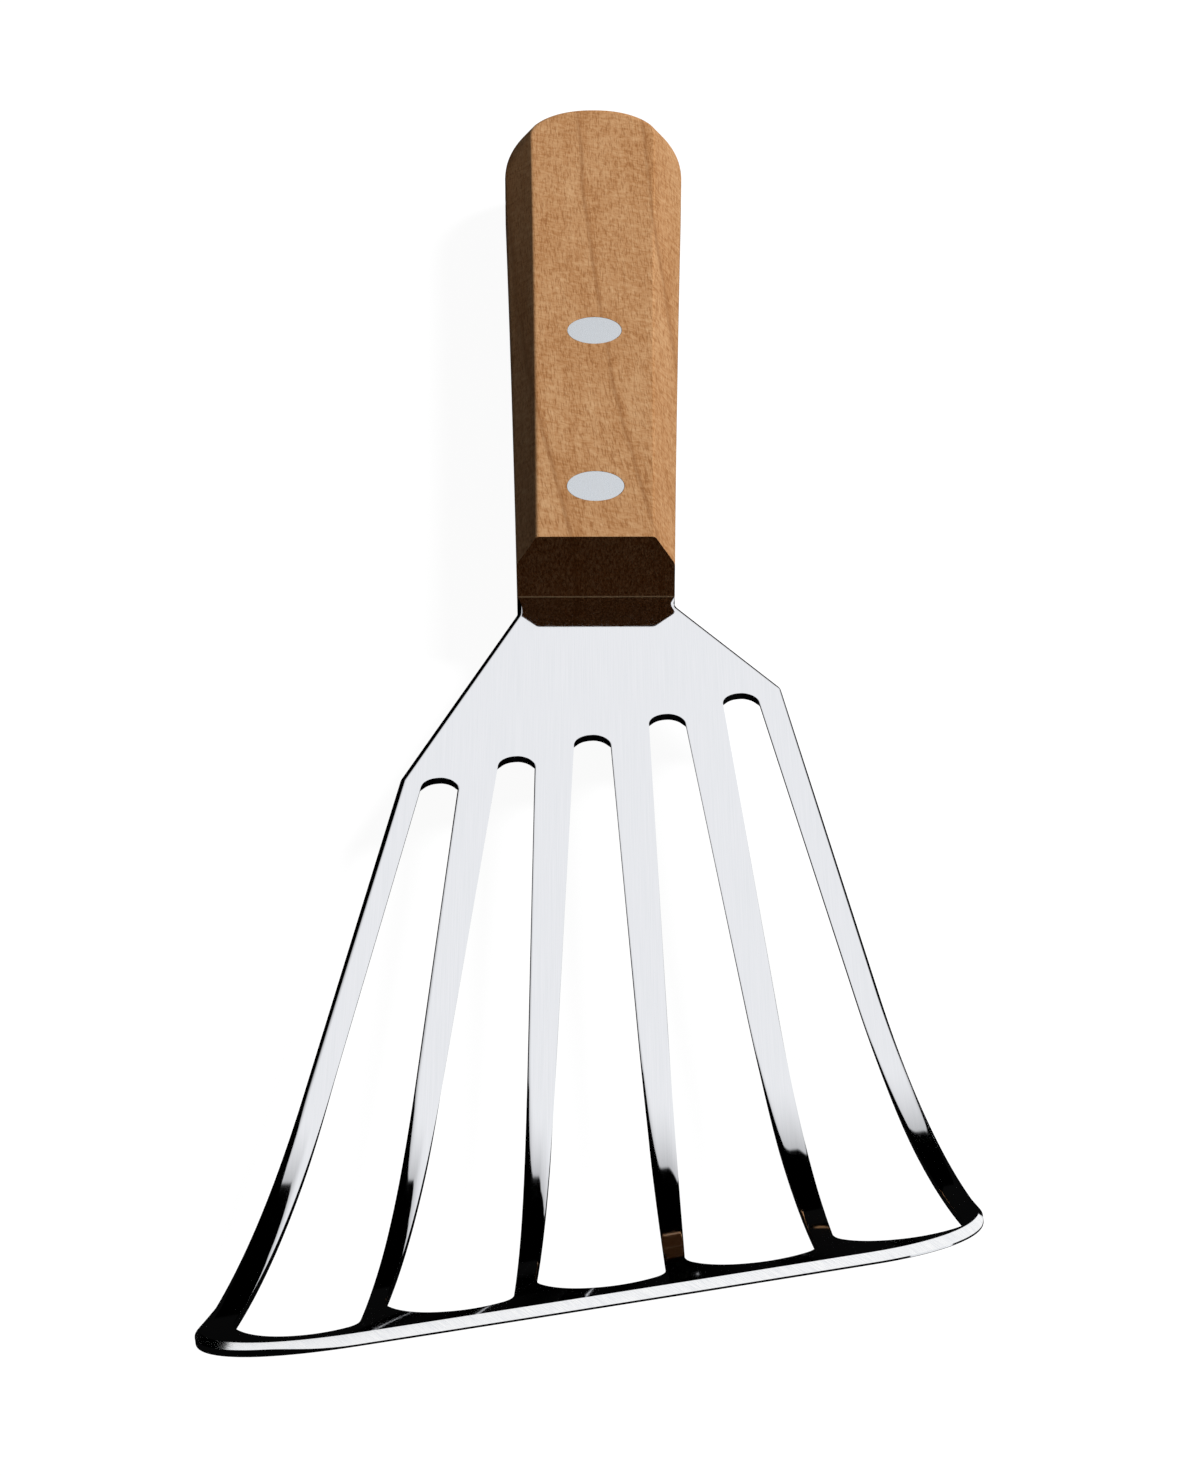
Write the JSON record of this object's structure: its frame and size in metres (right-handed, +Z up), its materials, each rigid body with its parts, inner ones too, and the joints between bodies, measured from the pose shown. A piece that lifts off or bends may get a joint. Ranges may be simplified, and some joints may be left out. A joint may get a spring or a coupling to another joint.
{
  "type": "slotted spatula",
  "caption": "Flexible slotted turner: a fanned, slanted steel blade with long slots and an upturned bevelled front, its tang riveted between two wooden handle scales.",
  "frame": {"origin": "on the flat underside of the handle, midway between its two rivets", "axes": "+Y runs from the blade's front edge to the butt of the handle, +X is the blade's short side, +Z is up"},
  "size_m": [0.0845, 0.3072, 0.0258],
  "materials": {
    "blade_steel": "lengthwise brushed, close to a mirror",
    "handle_wood": "smooth, lightly oiled, fine lengthwise grain",
    "rivet_metal": "finely brushed, ground flush"
  },
  "bodies": {
    "root": {"blade": "blade_steel", "upper_scale": "handle_wood", "lower_scale": "handle_wood", "front_rivet_socket": "rivet_metal", "front_rivet_pin": "rivet_metal", "rear_rivet_socket": "rivet_metal", "rear_rivet_pin": "rivet_metal"}
  },
  "joints": []
}
